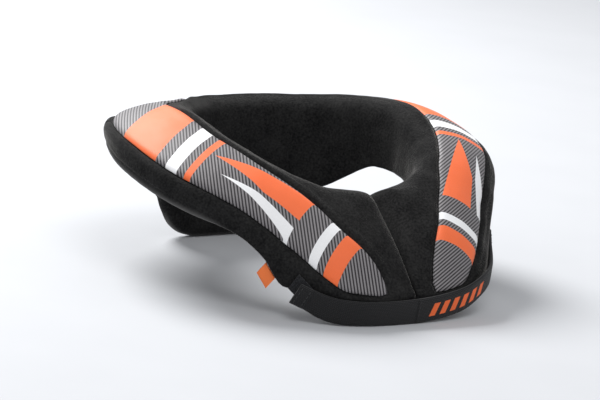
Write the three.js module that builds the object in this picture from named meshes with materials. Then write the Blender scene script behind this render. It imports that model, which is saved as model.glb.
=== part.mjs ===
// Karting neck roll for a young driver: a padded foam collar, split at the front, with a printed
// cover panel on each side, a padded flap under the back, a chest strap that closes on a
// loop-pile tab, and a ribbon pull tab.
// Millimetres, +Z up. The collar stands on the strap's lower edge and on the back flap.
// The front faces -Y and the wearer's left is +X.
// Sections lie in half-planes through the neck axis: 0 degrees is the front, 180 the back.
// They are laid out with the neck axis upright; then all of it leans forward until it stands.
import * as THREE from 'three';

// Driving sizes
const NECK_Y = 17.6;
const GAP = 0.3;
const SPLIT_GAP = 1.2;
const END_RIGHT = { lengthRim: 14, lengthLip: 6, insetRim: 7.5, insetLip: 2.5 };
const END_LEFT = { lengthRim: 5, lengthLip: 4.5, insetRim: 2.8, insetLip: 2 };
const CUT_LEFT = 22;
const CUT_DEPTH = 30;
const CUT_REACH = 60;
const LEAN = 3.913;
const SETTLE_Y = 4.74;
const STATION_STEP = 4.4;
const LOOP_STEPS = 3;
const PANEL_SEAT = 0.7;
const PANEL_THICK = 1.0;
const PANEL_FRONT = 9.2;
const LEFT_TURN = 3;
const PANEL_BACK = 160;
const PANEL_END = 9;
const PANEL_ACROSS = 10;
const FLAP_Y = 87;
const FLAP_THICK = 12;
const FLAP_CORNER = 3;
const FLAP_HALF = 57;
const FLAP_TUCK = 2;
const STRAP_THICK = 1.8;
const TAB_THICK = 1.2;
const RIBBON_WIDTH = 11.4;
const RIBBON_DROP = 9;
const RIBBON_THICK = 2.2;
const RIBBON_ANGLE = -40.2;
const RIBBON_SAG = 0.6;

// Collar sections: distance from the neck axis (R) and height (Z) of the neck's narrowest point,
// the inner base, the crest, the outer edge of the sloping face and the lower lip.
// bulge is how far the sloping face stands proud of a straight line from crest to edge.
const COLLAR_COLUMNS =
  'ang neckR neckZ baseR baseZ crestR crestZ edgeR edgeZ lipR lipZ bulge'.split(' ');
const COLLAR_ROWS = [
  [0, 62, 62, 67, 48, 84, 81, 143, 33.5, 140, 28, 3],
  [20, 64, 64, 69, 50, 86, 83, 146, 38, 143, 30.5, 7],
  [36, 69, 68, 73, 54, 88, 89, 137, 51, 134, 31, 7],
  [43, 71, 71, 75, 58, 88, 92, 133, 62, 131, 47, 6],
  [52, 72, 75, 76, 63, 89, 96, 132, 72, 129, 58, 5],
  [70, 73, 78, 77, 68, 89, 102, 136, 83, 133, 66.7, 3],
  [95, 73, 74, 77, 64, 88, 108.5, 132.8, 89, 129.8, 73.5, 3],
  [125, 71, 52, 76, 37, 88, 101, 125, 85.5, 121, 77, 2],
  [150, 67, 38, 75, 25, 87, 95, 112, 75, 108, 69, 2],
  [180, 65, 34, 74, 20, 87, 94, 108, 69, 104, 61, 3],
];

// The soft collar lies higher on the left: how much its crest and its outer edge rise, and how
// much fuller its face is
const LEFT_COLUMNS = 'ang crest edge bulge'.split(' ');
const LEFT_ROWS = [
  [0, 0, 0, 0],
  [40, 0, 1, 0],
  [60, 0.3, 4.5, 0.5],
  [75, 0.6, 6, 0.8],
  [95, 0.8, 4.5, 0.5],
  [125, 1.6, 3, 0.3],
  [150, 1.6, 1.8, 0],
  [180, 0, 0, 0],
];
const LIP_SHARE = 0.6;

// Printed panels: where their inner and outer edges lie across the face, 0 crest to 1 edge
const PANEL_INNER_COLUMNS = 'ang right left'.split(' ');
const PANEL_INNER_ROWS = [
  [9.2, 0.92, 0.92],
  [10.3, 0.82, 0.83],
  [12.3, 0.7, 0.7],
  [15, 0.61, 0.58],
  [20, 0.5, 0.445],
  [28, 0.31, 0.285],
  [36, 0.21, 0.2],
  [45, 0.17, 0.135],
  [52, 0.13, 0.095],
  [60, 0.07, 0.08],
  [70, 0.035, 0.1],
  [85, 0.035, 0.145],
  [115, 0.035, 0.12],
  [150, 0.035, 0.06],
];
const PANEL_OUTER_COLUMNS = 'ang right left'.split(' ');
const PANEL_OUTER_ROWS = [
  [9.2, 1.0, 1.01],
  [12, 1.045, 1.02],
  [17, 1.05, 1.015],
  [20, 1.05, 0.985],
  [25, 0.985, 0.9],
  [31, 0.93, 0.835],
  [36, 0.9, 0.81],
  [45, 0.93, 0.795],
  [60, 0.935, 0.82],
  [90, 0.92, 0.89],
  [115, 0.9, 0.9],
  [180, 0.9, 0.9],
];

// Back flap: height of its lower edge at each distance from the middle
const FLAP_COLUMNS = 'x bottom'.split(' ');
const FLAP_ROWS = [
  [0, 0],
  [20, 0],
  [33, 2.5],
  [43, 8.5],
  [51, 20],
  [57, 30],
];

// Strap and closure tab: angle, distance and height of the lower and the upper edge
const BAND_COLUMNS = 'lowAng lowR lowZ topAng topR topZ'.split(' ');
const STRAP_ROWS = [
  [-34.4, 145, 25, -32.2, 146.6, 38.4],
  [-30.6, 145.6, 21.8, -28.4, 147.8, 35.2],
  [-26.5, 147.2, 17.4, -24.8, 148.8, 32.8],
  [-22, 149, 15.3, -20.8, 149.8, 31.6],
  [-15.5, 149.2, 15, -14.8, 149.6, 31],
  [-8, 147.8, 15, -7.6, 148, 31],
  [0, 146.8, 15, 0, 146.9, 31.4],
  [8, 147.8, 16.9, 7.6, 148, 33.2],
  [15.5, 149.2, 20, 14.6, 149.6, 36],
  [20.5, 149.6, 24.2, 19.4, 150, 39],
  [26, 148.4, 28.4, 24.6, 149, 42.2],
  [31, 145.2, 30.2, 29.4, 146.2, 44],
  [36.5, 140.4, 31.4, 34.6, 142, 45.2],
  [42, 136.8, 32.8, 39.8, 138.2, 47],
  [46.5, 134.4, 35, 43.8, 135.8, 49.2],
  [50.2, 133.4, 39, 47.4, 134.4, 53],
];
const TAB_ROWS = [
  [-30, 143.5, 23.5, -28.2, 145.3, 33],
  [-32.4, 142.8, 27.7, -30.4, 143.9, 38],
  [-35.1, 141.2, 32.7, -33, 142.3, 43],
];

const rad = THREE.MathUtils.degToRad;

// A smooth curve through the rows of one column that never overshoots between rows
function smooth(xs, ys) {
  const n = xs.length;
  const slope = [];
  for (let i = 0; i < n - 1; i++) {
    slope.push((ys[i + 1] - ys[i]) / (xs[i + 1] - xs[i]));
  }
  const tangent = new Array(n).fill(0);
  for (let i = 1; i < n - 1; i++) {
    if (slope[i - 1] * slope[i] > 0) {
      const before = xs[i] - xs[i - 1];
      const after = xs[i + 1] - xs[i];
      const a = 2 * after + before;
      const b = after + 2 * before;
      tangent[i] = (a + b) / (a / slope[i - 1] + b / slope[i]);
    }
  }
  return (x) => {
    const at = Math.min(Math.max(x, xs[0]), xs[n - 1]);
    let i = 0;
    while (i < n - 2 && at > xs[i + 1]) {
      i += 1;
    }
    const h = xs[i + 1] - xs[i];
    const t = (at - xs[i]) / h;
    const t2 = t * t;
    const t3 = t2 * t;
    return (2 * t3 - 3 * t2 + 1) * ys[i] + (t3 - 2 * t2 + t) * h * tangent[i]
      + (3 * t2 - 2 * t3) * ys[i + 1] + (t3 - t2) * h * tangent[i + 1];
  };
}

// Each column of a table as a smooth function of the first column
function columns(names, rows) {
  const xs = rows.map((row) => row[0]);
  const out = {};
  names.forEach((name, i) => {
    out[name] = smooth(xs, rows.map((row) => row[i]));
  });
  return out;
}

const collar = columns(COLLAR_COLUMNS, COLLAR_ROWS);
const left = columns(LEFT_COLUMNS, LEFT_ROWS);
const panelInner = columns(PANEL_INNER_COLUMNS, PANEL_INNER_ROWS);
const panelOuter = columns(PANEL_OUTER_COLUMNS, PANEL_OUTER_ROWS);
const flapBottom = columns(FLAP_COLUMNS, FLAP_ROWS).bottom;

// Knots of one closed section, in order: base, neck, shoulder, crest, face, side, lip, underside
const FACE_STOPS = [0.25, 0.5, 0.75, 0.93];
const CREST_KNOT = 3;
const LIP_KNOT = 9;
function sectionKnots(ang) {
  const c = {};
  COLLAR_COLUMNS.forEach((name) => {
    c[name] = collar[name](Math.abs(ang));
  });
  if (ang > 0) {
    c.crestZ += left.crest(ang);
    c.edgeZ += left.edge(ang);
    c.lipZ += LIP_SHARE * left.edge(ang);
    c.bulge += left.bulge(ang);
  }
  const dr = c.edgeR - c.crestR;
  const dz = c.edgeZ - c.crestZ;
  const length = Math.hypot(dr, dz);
  const face = FACE_STOPS.map((f) => {
    const rise = 4 * c.bulge * f * (1 - f);
    return [c.crestR + dr * f - (dz / length) * rise, c.crestZ + dz * f + (dr / length) * rise];
  });
  return {
    knots: [
      [c.baseR, c.baseZ],
      [c.neckR, c.neckZ],
      [0.8 * c.neckR + 0.2 * c.crestR, c.neckZ + 0.83 * (c.crestZ - c.neckZ)],
      [c.crestR, c.crestZ],
      ...face,
      [c.edgeR + 1.5, 0.7 * c.edgeZ + 0.3 * c.lipZ],
      [c.lipR, c.lipZ],
      [0.55 * c.lipR + 0.45 * c.baseR, 0.5 * (c.lipZ + c.baseZ) + 4],
    ],
    coreA: [(c.crestR + c.baseR) / 2, (c.crestZ + c.baseZ) / 2],
    coreB: [c.edgeR - 11, (c.edgeZ + c.lipZ) / 2 + 3],
    depth: (r, z) => c.bulge + ((r - c.crestR) * dz - (z - c.crestZ) * dr) / length,
  };
}

// Catmull-Rom point on a closed loop, s counted in knots
function loopPoint(knots, s) {
  const n = knots.length;
  const i = Math.floor(s);
  const t = s - i;
  const k = (j) => knots[(((i + j) % n) + n) % n];
  const mix = (a) => 0.5 * (2 * k(0)[a] + (k(1)[a] - k(-1)[a]) * t
    + (2 * k(-1)[a] - 5 * k(0)[a] + 4 * k(1)[a] - k(2)[a]) * t * t
    + (3 * k(0)[a] - k(-1)[a] - 3 * k(1)[a] + k(2)[a]) * t * t * t);
  return [mix(0), mix(1)];
}

// Loop position of a place across the face, 0 at the crest to 1 at the edge
function acrossToLoop(f) {
  const stops = [0, ...FACE_STOPS, 1.05];
  let i = 0;
  while (i < stops.length - 2 && f > stops[i + 1]) {
    i += 1;
  }
  return CREST_KNOT + i + (f - stops[i]) / (stops[i + 1] - stops[i]);
}

function place(ang, r, z, cut) {
  const side = Math.sign(ang) || 1;
  const a = rad(Math.abs(ang));
  const slit = (SPLIT_GAP / 2) * (0.5 + 0.5 * Math.cos(a));
  return new THREE.Vector3(side * (slit + cut + r * Math.sin(a)), NECK_Y - r * Math.cos(a), z);
}

// Point on the collar's skin; the two front ends are rounded, more at the rim than at the lip.
// The left end is also cut back on its face, most at the rim, so that the right end laps over it.
function skin(ang, s) {
  const { knots, coreA, coreB, depth } = sectionKnots(ang);
  let [r, z] = loopPoint(knots, s);
  const axis = [coreB[0] - coreA[0], coreB[1] - coreA[1]];
  const t = ((r - coreA[0]) * axis[0] + (z - coreA[1]) * axis[1])
    / (axis[0] ** 2 + axis[1] ** 2);
  const u = Math.min(Math.max(t, 0), 1);
  const end = ang < 0 ? END_RIGHT : END_LEFT;
  const endLength = end.lengthRim + (end.lengthLip - end.lengthRim) * u;
  const endInset = end.insetRim + (end.insetLip - end.insetRim) * u;
  const along = r * Math.sin(rad(Math.abs(ang)));
  if (Math.abs(ang) < 90 && along < endLength) {
    const inset = endInset * (1 - Math.sqrt(1 - (1 - along / endLength) ** 2));
    const to = [coreA[0] + axis[0] * u - r, coreA[1] + axis[1] * u - z];
    const reach = Math.hypot(to[0], to[1]);
    const step = Math.min(inset, 0.7 * reach);
    r += (to[0] / reach) * step;
    z += (to[1] / reach) * step;
  }
  let cut = 0;
  if (ang >= 0 && ang < 90 && along < CUT_REACH) {
    const shallow = THREE.MathUtils.clamp(1 - depth(r, z) / CUT_DEPTH, 0, 1);
    cut = CUT_LEFT * (1 - 0.9 * u) ** 1.2 * shallow * (1 - along / CUT_REACH) ** 2;
  }
  return place(ang, r, z, cut);
}

function skinNormal(ang, s) {
  const da = 0.4;
  const ds = 0.04;
  const along = skin(ang + da, s).sub(skin(ang - da, s));
  const across = skin(ang, s + ds).sub(skin(ang, s - ds));
  return along.cross(across).normalize().multiplyScalar(-1);
}

// Height of the collar's underside above a plan point, or none where the neck is open
function undersideZ(x, y) {
  const ang = THREE.MathUtils.radToDeg(Math.atan2(x, NECK_Y - y));
  const r = Math.hypot(x, NECK_Y - y);
  const { knots } = sectionKnots(ang);
  let low = Infinity;
  for (let s = 0; s < knots.length; s += 0.05) {
    const a = loopPoint(knots, s);
    const b = loopPoint(knots, s + 0.05);
    if ((a[0] - r) * (b[0] - r) <= 0) {
      low = Math.min(low, a[1], b[1]);
    }
  }
  return low;
}

// Leans a point of the upright layout forward about the flap's foot
function settle(p) {
  const a = rad(LEAN);
  const y = p.y - FLAP_Y;
  return [
    p.x,
    FLAP_Y + SETTLE_Y + y * Math.cos(a) - p.z * Math.sin(a),
    y * Math.sin(a) + p.z * Math.cos(a),
  ];
}

// A closed solid from rings of equal length: walls between rings, and a flat cap on each end
function loft(rings) {
  const n = rings[0].length;
  const position = [];
  rings.flat().forEach((p) => position.push(...settle(p)));
  const index = [];
  for (let i = 0; i < rings.length - 1; i++) {
    for (let j = 0; j < n; j++) {
      const k = (j + 1) % n;
      const a = i * n + j;
      const b = i * n + k;
      const c = (i + 1) * n + k;
      const d = (i + 1) * n + j;
      index.push(a, b, c, a, c, d);
    }
  }
  const cap = (ring, base, flip) => {
    const origin = ring[0];
    const normal = new THREE.Vector3();
    for (let j = 1; j < n - 1; j++) {
      normal.add(ring[j].clone().sub(origin).cross(ring[j + 1].clone().sub(origin)));
    }
    normal.normalize();
    const u = ring[1].clone().sub(origin).normalize();
    const v = normal.clone().cross(u);
    const flat = ring.map((p) => new THREE.Vector2(p.clone().sub(origin).dot(u),
      p.clone().sub(origin).dot(v)));
    THREE.ShapeUtils.triangulateShape(flat, []).forEach(([a, b, c]) => {
      const order = flip ? [a, c, b] : [a, b, c];
      order.forEach((j) => index.push(base + j));
    });
  };
  cap(rings[0], 0, true);
  cap(rings[rings.length - 1], (rings.length - 1) * n, false);
  const geometry = new THREE.BufferGeometry();
  geometry.setAttribute('position', new THREE.Float32BufferAttribute(position, 3));
  geometry.setIndex(index);
  return outward(geometry);
}

// Turns a closed geometry inside out if its faces point in
function outward(geometry) {
  const p = geometry.attributes.position;
  const index = geometry.index.array;
  const a = new THREE.Vector3();
  const b = new THREE.Vector3();
  const c = new THREE.Vector3();
  let volume = 0;
  for (let i = 0; i < index.length; i += 3) {
    a.fromBufferAttribute(p, index[i]);
    b.fromBufferAttribute(p, index[i + 1]);
    c.fromBufferAttribute(p, index[i + 2]);
    volume += a.dot(b.cross(c));
  }
  if (volume < 0) {
    for (let i = 0; i < index.length; i += 3) {
      const keep = index[i + 1];
      index[i + 1] = index[i + 2];
      index[i + 2] = keep;
    }
  }
  geometry.computeVertexNormals();
  return geometry;
}

// Angles of the lofted stations on one half, closer together over the rounded end
function halfStations() {
  const out = [0, 0.35, 1, 2, 3.3, 4.8, 6.6, 8.8, 11.2];
  const last = out[out.length - 1];
  const count = Math.round((180 - last) / STATION_STEP);
  for (let i = 1; i <= count; i++) {
    out.push(last + ((180 - last) * i) / count);
  }
  return out;
}

function collarGeometry() {
  const half = halfStations();
  const angles = [...half, ...half.slice(0, -1).reverse().map((a) => -a)];
  const loopCount = sectionKnots(0).knots.length * LOOP_STEPS;
  const rings = angles.map((ang, i) => {
    const signed = i === angles.length - 1 ? -1e-9 : ang;
    return Array.from({ length: loopCount }, (_, j) => skin(signed, j / LOOP_STEPS));
  });
  return loft(rings);
}

// Panel edges across the face, drawn together at the back end.
// The left panel reaches LEFT_TURN degrees nearer to the split.
function panelSpan(ang, side) {
  const at = side > 0 ? ang + LEFT_TURN : ang;
  const inner = side > 0 ? panelInner.left(at) : panelInner.right(at);
  const outer = side > 0 ? panelOuter.left(at) : panelOuter.right(at);
  const into = Math.min(1, (PANEL_BACK - ang) / PANEL_END);
  const narrow = 0.3 + 0.7 * Math.sqrt(1 - (1 - into) ** 2);
  const middle = (inner + outer) / 2;
  const half = Math.max((outer - inner) / 2, 0.03) * narrow;
  return [middle - half, middle + half];
}

function panelGeometry(side) {
  const front = PANEL_FRONT - (side > 0 ? LEFT_TURN : 0);
  const angles = halfStations().filter((a) => a > front + 2.6 && a < PANEL_BACK - 1);
  const all = [front, front + 0.5, front + 1.1, front + 2, ...angles, PANEL_BACK];
  const rings = all.map((ang) => {
    const [inner, outer] = panelSpan(ang, side);
    const under = [];
    const over = [];
    for (let j = 0; j <= PANEL_ACROSS; j++) {
      const across = 0.5 - 0.5 * Math.cos((Math.PI * j) / PANEL_ACROSS);
      const s = acrossToLoop(inner + (outer - inner) * across);
      const p = skin(side * ang, s);
      const n = skinNormal(side * ang, s);
      under.push(p.clone().addScaledVector(n, PANEL_SEAT));
      over.push(p.clone().addScaledVector(n, PANEL_SEAT + PANEL_THICK));
    }
    return [...under, ...over.reverse()];
  });
  return loft(rings);
}

function flapGeometry() {
  const count = 26;
  const rings = [];
  for (let i = 0; i <= count; i++) {
    const x = FLAP_HALF * Math.sin((Math.PI / 2) * ((2 * i) / count - 1));
    const thin = Math.sqrt(Math.max(0, 1 - (Math.abs(x) / FLAP_HALF) ** 6));
    const half = (FLAP_THICK / 2) * (0.45 + 0.55 * thin);
    const low = flapBottom(Math.abs(x));
    const inside = FLAP_Y - half;
    const outside = FLAP_Y + half;
    const corner = Math.min(FLAP_CORNER, half * 0.6);
    const bevel = corner * 0.3;
    const limit = undersideZ(x, FLAP_Y + 1) + FLAP_TUCK;
    const ring = [
      [inside, low + corner],
      [inside + bevel, low + bevel],
      [inside + corner, low],
      [outside - corner, low],
      [outside - bevel, low + bevel],
      [outside, low + corner],
    ].map(([y, z]) => [y, z + (FLAP_Y - y) * Math.tan(rad(LEAN))]);
    for (let j = 0; j <= 6; j++) {
      const y = outside - ((outside - inside) * j) / 6;
      ring.push([y, Math.min(undersideZ(x, y), limit) - 2.8 * GAP]);
    }
    rings.push(ring.map(([y, z]) => new THREE.Vector3(x, y, z)));
  }
  return loft(rings);
}

// A flat band between a lower and an upper edge
function bandGeometry(rows, thick, steps) {
  const edge = (a, r, z) => new THREE.CatmullRomCurve3(rows.map((row) => {
    const at = {};
    BAND_COLUMNS.forEach((name, i) => {
      at[name] = row[i];
    });
    const t = rad(at[a]);
    return new THREE.Vector3(at[r] * Math.sin(t), NECK_Y - at[r] * Math.cos(t), at[z]);
  }));
  const low = edge('lowAng', 'lowR', 'lowZ');
  const top = edge('topAng', 'topR', 'topZ');
  const rings = [];
  for (let i = 0; i <= steps; i++) {
    const t = i / steps;
    const a = low.getPoint(t);
    const b = top.getPoint(t);
    const along = low.getTangent(t).add(top.getTangent(t));
    const n = along.cross(b.clone().sub(a)).normalize().multiplyScalar(thick / 2);
    rings.push([a.clone().add(n), b.clone().add(n), b.clone().sub(n), a.clone().sub(n)]);
  }
  return loft(rings);
}

// A ribbon folded double: two plies at the lip, a round fold at the free edge
function ribbonGeometry() {
  const lip = (ang) => skin(ang, LIP_KNOT).addScaledVector(skinNormal(ang, LIP_KNOT), 1.2 * GAP);
  const middle = lip(RIBBON_ANGLE);
  const along = lip(RIBBON_ANGLE - 2.2).sub(lip(RIBBON_ANGLE + 2.2)).normalize();
  const out = new THREE.Vector3(Math.sin(rad(RIBBON_ANGLE)), -Math.cos(rad(RIBBON_ANGLE)), 0);
  const across = out.clone().addScaledVector(along, -out.dot(along)).normalize();
  const down = across.clone().cross(along).normalize();
  if (down.z > 0) {
    down.negate();
  }
  down.z -= RIBBON_SAG;
  down.normalize();
  const profile = [
    [0, -0.4],
    [0, 0.4],
    [0.4, 0.46],
    [0.75, 0.5],
    [0.93, 0.36],
    [1, 0],
    [0.93, -0.36],
    [0.75, -0.5],
    [0.4, -0.46],
  ];
  const rings = [-0.5, -0.17, 0.17, 0.5].map((w) => profile.map(([d, t]) => middle.clone()
    .addScaledVector(along, w * RIBBON_WIDTH)
    .addScaledVector(down, d * RIBBON_DROP)
    .addScaledVector(across, t * RIBBON_THICK)));
  return loft(rings);
}

const fleece = new THREE.MeshStandardMaterial({ color: 0x1c1c1c, roughness: 0.95, metalness: 0 });
const print = new THREE.MeshStandardMaterial({ color: 0x8a8488, roughness: 0.6, metalness: 0 });
const webbing = new THREE.MeshStandardMaterial({ color: 0x202021, roughness: 0.8, metalness: 0 });
const pile = new THREE.MeshStandardMaterial({ color: 0x36373a, roughness: 0.95, metalness: 0 });
const ribbon = new THREE.MeshStandardMaterial({ color: 0xff7d46, roughness: 0.55, metalness: 0 });

const neckRoll = new THREE.Group();
function add(name, geometry, material) {
  const mesh = new THREE.Mesh(geometry, material);
  mesh.name = name;
  neckRoll.add(mesh);
}

add('collar_pad', collarGeometry(), fleece);
add('right_panel', panelGeometry(-1), print);
add('left_panel', panelGeometry(1), print);
add('back_flap', flapGeometry(), fleece);
add('front_strap', bandGeometry(STRAP_ROWS, STRAP_THICK, 60), webbing);
add('closure_tab', bandGeometry(TAB_ROWS, TAB_THICK, 12), pile);
add('pull_tab', ribbonGeometry(), ribbon);

export default neckRoll;
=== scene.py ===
# %% [markdown]
# # A karting neck roll
# A young driver wears this foam collar under the helmet. It is a C of soft foam in black fleece,
# split at the front, with a printed panel on each side, a padded flap under the back, a webbing
# strap across the front, a patch of loop pile for the strap and a folded ribbon to pull.
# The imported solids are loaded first: they give the true size, and every soft solid is then
# replaced by a finer piece in the same place.

# %% Load the frame
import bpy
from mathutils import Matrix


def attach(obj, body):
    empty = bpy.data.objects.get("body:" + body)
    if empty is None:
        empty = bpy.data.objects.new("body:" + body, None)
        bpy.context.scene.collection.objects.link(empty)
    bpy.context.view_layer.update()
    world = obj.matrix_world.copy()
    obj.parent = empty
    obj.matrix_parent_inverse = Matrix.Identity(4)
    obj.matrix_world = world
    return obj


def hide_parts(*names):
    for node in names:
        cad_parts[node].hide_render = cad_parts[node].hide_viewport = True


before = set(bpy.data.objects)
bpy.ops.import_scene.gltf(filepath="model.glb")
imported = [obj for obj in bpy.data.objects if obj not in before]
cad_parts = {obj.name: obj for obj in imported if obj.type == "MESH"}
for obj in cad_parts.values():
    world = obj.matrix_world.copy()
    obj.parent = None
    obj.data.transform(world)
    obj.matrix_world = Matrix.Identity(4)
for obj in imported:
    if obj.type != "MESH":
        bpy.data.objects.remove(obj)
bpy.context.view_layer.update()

import math
import bpy
import numpy as np
from mathutils import Matrix, Vector
from mathutils.kdtree import KDTree

# %% [markdown]
# ## Camera
# The photograph looks at the right front of the collar from a little above, with the picture
# turned a few degrees. Building the camera's three axes from azimuth, elevation and roll keeps
# that turn exact, which a tracking constraint would not.

# %% Camera
AZIMUTH, ELEVATION, ROLL = math.radians(-38.06), math.radians(13.23), math.radians(6.79)
TARGET = Vector((0, 0.0073, 0.04605))
DISTANCE, SEEN_WIDTH, SENSOR = 2.0, 0.396, 36.0
toward = Vector((math.sin(AZIMUTH) * math.cos(ELEVATION),
                 -math.cos(AZIMUTH) * math.cos(ELEVATION), math.sin(ELEVATION)))
level = Vector((math.cos(AZIMUTH), math.sin(AZIMUTH), 0))
right = level * math.cos(ROLL) + toward.cross(level) * math.sin(ROLL)
up = toward.cross(right)
scene = bpy.context.scene


def add(name, data):
    thing = bpy.data.objects.new(name, data)
    scene.collection.objects.link(thing)
    return thing


camera_data = bpy.data.cameras.new("camera")
camera_data.sensor_width = SENSOR
camera_data.lens = SENSOR * DISTANCE / SEEN_WIDTH
camera = add("camera", camera_data)
camera.matrix_world = (Matrix.Translation(TARGET + toward * DISTANCE)
                       @ Matrix((right, up, toward)).transposed().to_4x4())
scene.camera = camera
print("lens in mm:", round(camera_data.lens, 1))

# %% [markdown]
# ## Studio
# A large softbox above and behind the collar lights its rims from the top, as in the photograph,
# and a weak one high in front fills the sides. A pale world around it opens the shadows. A small
# hard lamp would also show the form, but black brushed cloth needs broad light to be seen.
# The Standard view transform keeps the orange as strong as it is printed.

# %% Lights
LIGHT_AIM = Vector((0, 0, 0.05))
LIGHTS = [
    # name, place and diameter in metres, power in watts
    ("back_softbox", (-0.15, 1.25, 1.3), 1.0, 50),
    ("front_softbox", (-0.35, -0.75, 1.5), 0.9, 8),
]
WORLD_COLOUR, WORLD_STRENGTH = (0.86, 0.87, 0.89, 1), 0.66
for name, place, size, power in LIGHTS:
    data = bpy.data.lights.new(name, "AREA")
    data.shape, data.size, data.energy = "DISK", size, power
    lamp = add(name, data)
    lamp.location = place
    lamp.rotation_euler = (LIGHT_AIM - Vector(place)).to_track_quat("-Z", "Y").to_euler()
    print(name, "gives", power, "W")
world = bpy.data.worlds.new("studio")
scene.world = world
world.use_nodes = True
background = world.node_tree.nodes["Background"]
background.inputs["Color"].default_value = WORLD_COLOUR
background.inputs["Strength"].default_value = WORLD_STRENGTH
scene.view_settings.view_transform = "Standard"

# %% [markdown]
# ## Meshes from grids
# The shapes are easiest to describe with the neck axis upright. On the floor the collar leans
# forward onto its strap, so every finished point is turned about the foot of the back flap.
# Every piece is a grid of points that a function works out, so two small helpers are enough.
# One joins rings into a closed tube with capped ends, the other joins an upper and a lower sheet
# into a thin closed shell. Sizes are worked out in millimetres and stored in metres.

# %% Lean onto the floor
MM = 0.001
LEAN, FOOT_Y, SHIFT_Y = math.radians(3.913), 87.0, 4.74


def settle(points):
    y, z = points[..., 1] - FOOT_Y, points[..., 2]
    return np.stack([points[..., 0],
                     FOOT_Y + SHIFT_Y + y * math.cos(LEAN) - z * math.sin(LEAN),
                     y * math.sin(LEAN) + z * math.cos(LEAN)], -1)


print("a point 100 mm above the flap's foot settles at", settle(np.array([0, FOOT_Y, 100.0])).round(1))

# %% Build a mesh
def quads(index):
    rows = np.stack([index[:-1, :-1], index[1:, :-1], index[1:, 1:], index[:-1, 1:]], axis=-1)
    return rows.reshape(-1, 4)


def build(name, points, faces, maps=None):
    """A smooth mesh from points in mm; maps gives each point a place in a UV map."""
    mesh = bpy.data.meshes.new(name)
    mesh.from_pydata((points * MM).tolist(), [], [list(map(int, f)) for f in faces])
    mesh.polygons.foreach_set("use_smooth", np.ones(len(mesh.polygons), bool))
    corners = np.empty(len(mesh.loops), int)
    mesh.loops.foreach_get("vertex_index", corners)
    for label, places in (maps or {}).items():
        mesh.uv_layers.new(name=label).data.foreach_set("uv", places[corners].ravel())
    piece = add(name, mesh)
    a, b, c = (points[[f[k] for f in faces]] for k in range(3))
    if np.einsum("ij,ij->", a, np.cross(b, c)) < 0:
        mesh.flip_normals()
    mesh.validate()
    return piece


def count(piece):
    tris = sum(len(p.vertices) - 2 for p in piece.data.polygons)
    box = np.array([corner[:] for corner in piece.bound_box]) / MM
    print(piece.name, tris, "triangles,", np.round(box.min(0), 1), "to", np.round(box.max(0), 1), "mm")


print("a grid of 3 by 4 points gives", len(quads(np.arange(12).reshape(3, 4))), "quads")

# %% Tubes and shells
def round_quads(index):
    return quads(np.concatenate([index, index[:, :1]], axis=1)).tolist()


def with_ends(grid):
    return np.concatenate([grid.reshape(-1, grid.shape[-1]), [grid[0].mean(0), grid[-1].mean(0)]])


def tube(name, rings, maps=None):
    n, m = rings.shape[:2]
    index = np.arange(n * m).reshape(n, m)
    faces = round_quads(index)
    for centre, row in ((n * m, index[0][::-1]), (n * m + 1, index[-1])):
        faces += [[centre, row[j], row[(j + 1) % m]] for j in range(m)]
    spread = {label: with_ends(uv) for label, uv in (maps or {}).items()}
    return build(name, settle(with_ends(rings)), faces, spread)


def shell(name, over, under, maps=None):
    n, m = over.shape[:2]
    top = np.arange(n * m).reshape(n, m)
    low = top + n * m
    faces = [quads(top), quads(low[:, ::-1])]
    for a, b in ((top[0], low[0]), (low[-1], top[-1]), (low[:, 0], top[:, 0]), (top[:, -1], low[:, -1])):
        faces.append(quads(np.stack([b, a])))
    points = np.concatenate([over.reshape(-1, 3), under.reshape(-1, 3)])
    spread = {k: np.concatenate([uv.reshape(-1, 2)] * 2) for k, uv in (maps or {}).items()}
    return build(name, settle(points), np.concatenate(faces).tolist(), spread)


print("two rings of 6 points give", len(round_quads(np.arange(12).reshape(2, 6))), "quads")

# %% [markdown]
# ## Node helpers
# A procedural finish is a sum done for each point of the surface. One helper adds a maths node and
# another starts a material, so that the finishes below read like the sums that they are.

# %% Node helpers
FINISH_SOCKETS = ("Roughness", "Specular IOR Level", "Sheen Weight", "Sheen Roughness", "Sheen Tint")


def start_finish(name, *settings):
    finish = bpy.data.materials.new(name)
    finish.use_nodes = True
    shader = finish.node_tree.nodes["Principled BSDF"]
    for socket, value in zip(FINISH_SOCKETS, settings):
        shader.inputs[socket].default_value = value
    return finish, finish.node_tree, shader


def feed(tree, value, socket):
    if isinstance(value, bpy.types.NodeSocket):
        tree.links.new(value, socket)
    else:
        socket.default_value = value


def calc(tree, operation, *values):
    node = tree.nodes.new("ShaderNodeMath")
    node.operation = operation
    for value, socket in zip(values, node.inputs):
        feed(tree, value, socket)
    return node.outputs[0]


print("set for every finish:", ", ".join(FINISH_SOCKETS))

# %% [markdown]
# ## The floor
# The floor is one big pale sheet, so that views from all sides see it. It belongs to the studio and
# not to the object.

# %% Floor
FLOOR_HALF = 4000.0


def noise(tree, where, size_mm, detail=2.0):
    node = tree.nodes.new("ShaderNodeTexNoise")
    node.inputs["Scale"].default_value = 1 / (size_mm * MM)
    node.inputs["Detail"].default_value = detail
    tree.links.new(where, node.inputs["Vector"])
    return node.outputs["Fac"]


def blend(tree, amount, first, second):
    node = tree.nodes.new("ShaderNodeMix")
    node.data_type = "RGBA"
    feed(tree, amount, node.inputs["Factor"])
    for value, socket in ((first, 6), (second, 7)):  # A and B as colours
        feed(tree, value, node.inputs[socket])
    return node.outputs[2]


def paint(tree, shader, colour):
    tree.links.new(colour, shader.inputs["Base Color"])


def object_place(tree):
    return tree.nodes.new("ShaderNodeTexCoord").outputs["Object"]


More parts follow.
